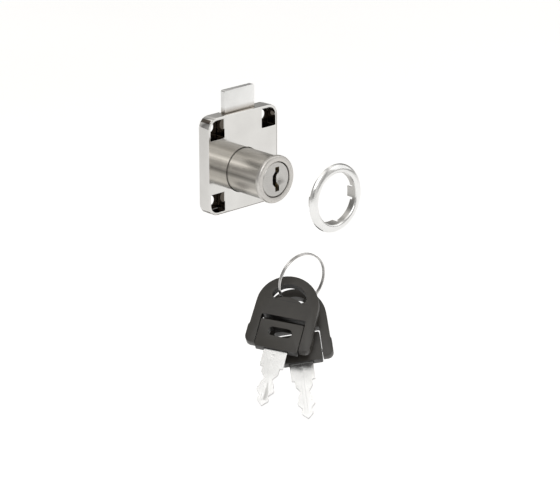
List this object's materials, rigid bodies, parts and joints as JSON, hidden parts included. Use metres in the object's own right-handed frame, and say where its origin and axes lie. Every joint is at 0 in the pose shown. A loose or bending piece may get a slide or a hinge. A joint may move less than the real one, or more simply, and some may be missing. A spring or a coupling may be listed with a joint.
{
  "type": "furniture rim lock",
  "caption": "Drawer rim lock with a bolt shot by a rotating cylinder, its loose trim ring, and folding keys on a split ring.",
  "frame": {"origin": "on the cylinder's axis, in the plane of the case's front face, which bears on the back of the panel", "axes": "-Y runs out through the panel along the cylinder towards the key, +Y into the drawer, +Z the way the bolt is shot, X across the case"},
  "size_m": [0.0491, 0.0589, 0.1209],
  "materials": {
    "polished_nickel": "polished nickel plate",
    "brushed_nickel": "satin nickel plate, brushed along the cylinder",
    "steel": "bright steel",
    "brass": "plain brass",
    "black_plastic": "satin moulded plastic"
  },
  "bodies": {
    "lock": {"lock_case": "polished_nickel", "back_cover": "polished_nickel", "cover_rivet_1": "steel", "cover_rivet_2": "steel", "cover_rivet_3": "steel", "cover_rivet_4": "steel", "cylinder_housing": "brushed_nickel", "split_ring": "steel"},
    "plug": {"plug": "brushed_nickel", "drive_cam": "steel", "cam_screw": "steel", "wafer_spring_1": "steel", "wafer_spring_2": "steel", "wafer_spring_3": "steel", "wafer_spring_4": "steel", "wafer_spring_5": "steel", "wafer_spring_6": "steel"},
    "bolt": {"bolt": "polished_nickel"},
    "trim_ring": {"trim_ring": "polished_nickel"},
    "wafer_1": {"wafer_1": "brass"},
    "wafer_2": {"wafer_2": "brass"},
    "wafer_3": {"wafer_3": "brass"},
    "wafer_4": {"wafer_4": "brass"},
    "wafer_5": {"wafer_5": "brass"},
    "wafer_6": {"wafer_6": "brass"},
    "key_1_head": {"key_1_head": "black_plastic", "key_1_hinge_pin": "steel"},
    "key_1_blade": {"key_1_block": "black_plastic", "key_1_blade": "brushed_nickel"},
    "key_2_head": {"key_2_head": "black_plastic", "key_2_hinge_pin": "steel"},
    "key_2_blade": {"key_2_block": "black_plastic", "key_2_blade": "brushed_nickel"}
  },
  "joints": [
    {"name": "plug_turn", "type": "hinge", "parent": "lock", "child": "plug", "pos_m": [0, 0, 0], "axis": [0, 1, 0], "range_deg": [0, 180]},
    {"name": "bolt_slide", "type": "slide", "parent": "lock", "child": "bolt", "axis": [0, 0, -1], "range_m": [0, 0.0093]},
    {"name": "wafer_1_slide", "type": "slide", "parent": "plug", "child": "wafer_1", "axis": [0, 0, 1], "range_m": [0, 0.001], "stiffness_N_per_m": 40},
    {"name": "wafer_2_slide", "type": "slide", "parent": "plug", "child": "wafer_2", "axis": [0, 0, 1], "range_m": [0, 0.001], "stiffness_N_per_m": 40},
    {"name": "wafer_3_slide", "type": "slide", "parent": "plug", "child": "wafer_3", "axis": [0, 0, 1], "range_m": [0, 0.001], "stiffness_N_per_m": 40},
    {"name": "wafer_4_slide", "type": "slide", "parent": "plug", "child": "wafer_4", "axis": [0, 0, 1], "range_m": [0, 0.001], "stiffness_N_per_m": 40},
    {"name": "wafer_5_slide", "type": "slide", "parent": "plug", "child": "wafer_5", "axis": [0, 0, 1], "range_m": [0, 0.001], "stiffness_N_per_m": 40},
    {"name": "wafer_6_slide", "type": "slide", "parent": "plug", "child": "wafer_6", "axis": [0, 0, 1], "range_m": [0, 0.001], "stiffness_N_per_m": 40},
    {"name": "ring_slide", "type": "slide", "parent": "lock", "child": "trim_ring", "axis": [0, 1, 0], "range_m": [0, 0.0354]},
    {"name": "key_1_swing", "type": "hinge", "parent": "lock", "child": "key_1_head", "pos_m": [-0.00282, -0.02436, -0.04584], "axis": [-0.5763, -0.4503, 0.682], "range_deg": [-5, 6]},
    {"name": "key_1_fold", "type": "hinge", "parent": "key_1_head", "child": "key_1_blade", "pos_m": [-0.0128, -0.03361, -0.06039], "axis": [-0.5295, 0.8414, 0.1081], "range_deg": [0, 35]},
    {"name": "key_2_swing", "type": "hinge", "parent": "lock", "child": "key_2_head", "pos_m": [0.00454, -0.02453, -0.05234], "axis": [-0.5763, -0.4503, 0.682], "range_deg": [-5, 6]},
    {"name": "key_2_fold", "type": "hinge", "parent": "key_2_head", "child": "key_2_blade", "pos_m": [-0.00379, -0.03653, -0.0673], "axis": [-0.7174, 0.6785, -0.1583], "range_deg": [-35, 0]}
  ],
  "couplings": [
    {"joint": "bolt_slide", "follows": "plug_turn", "m_per_rad": 0.0029603}
  ]
}
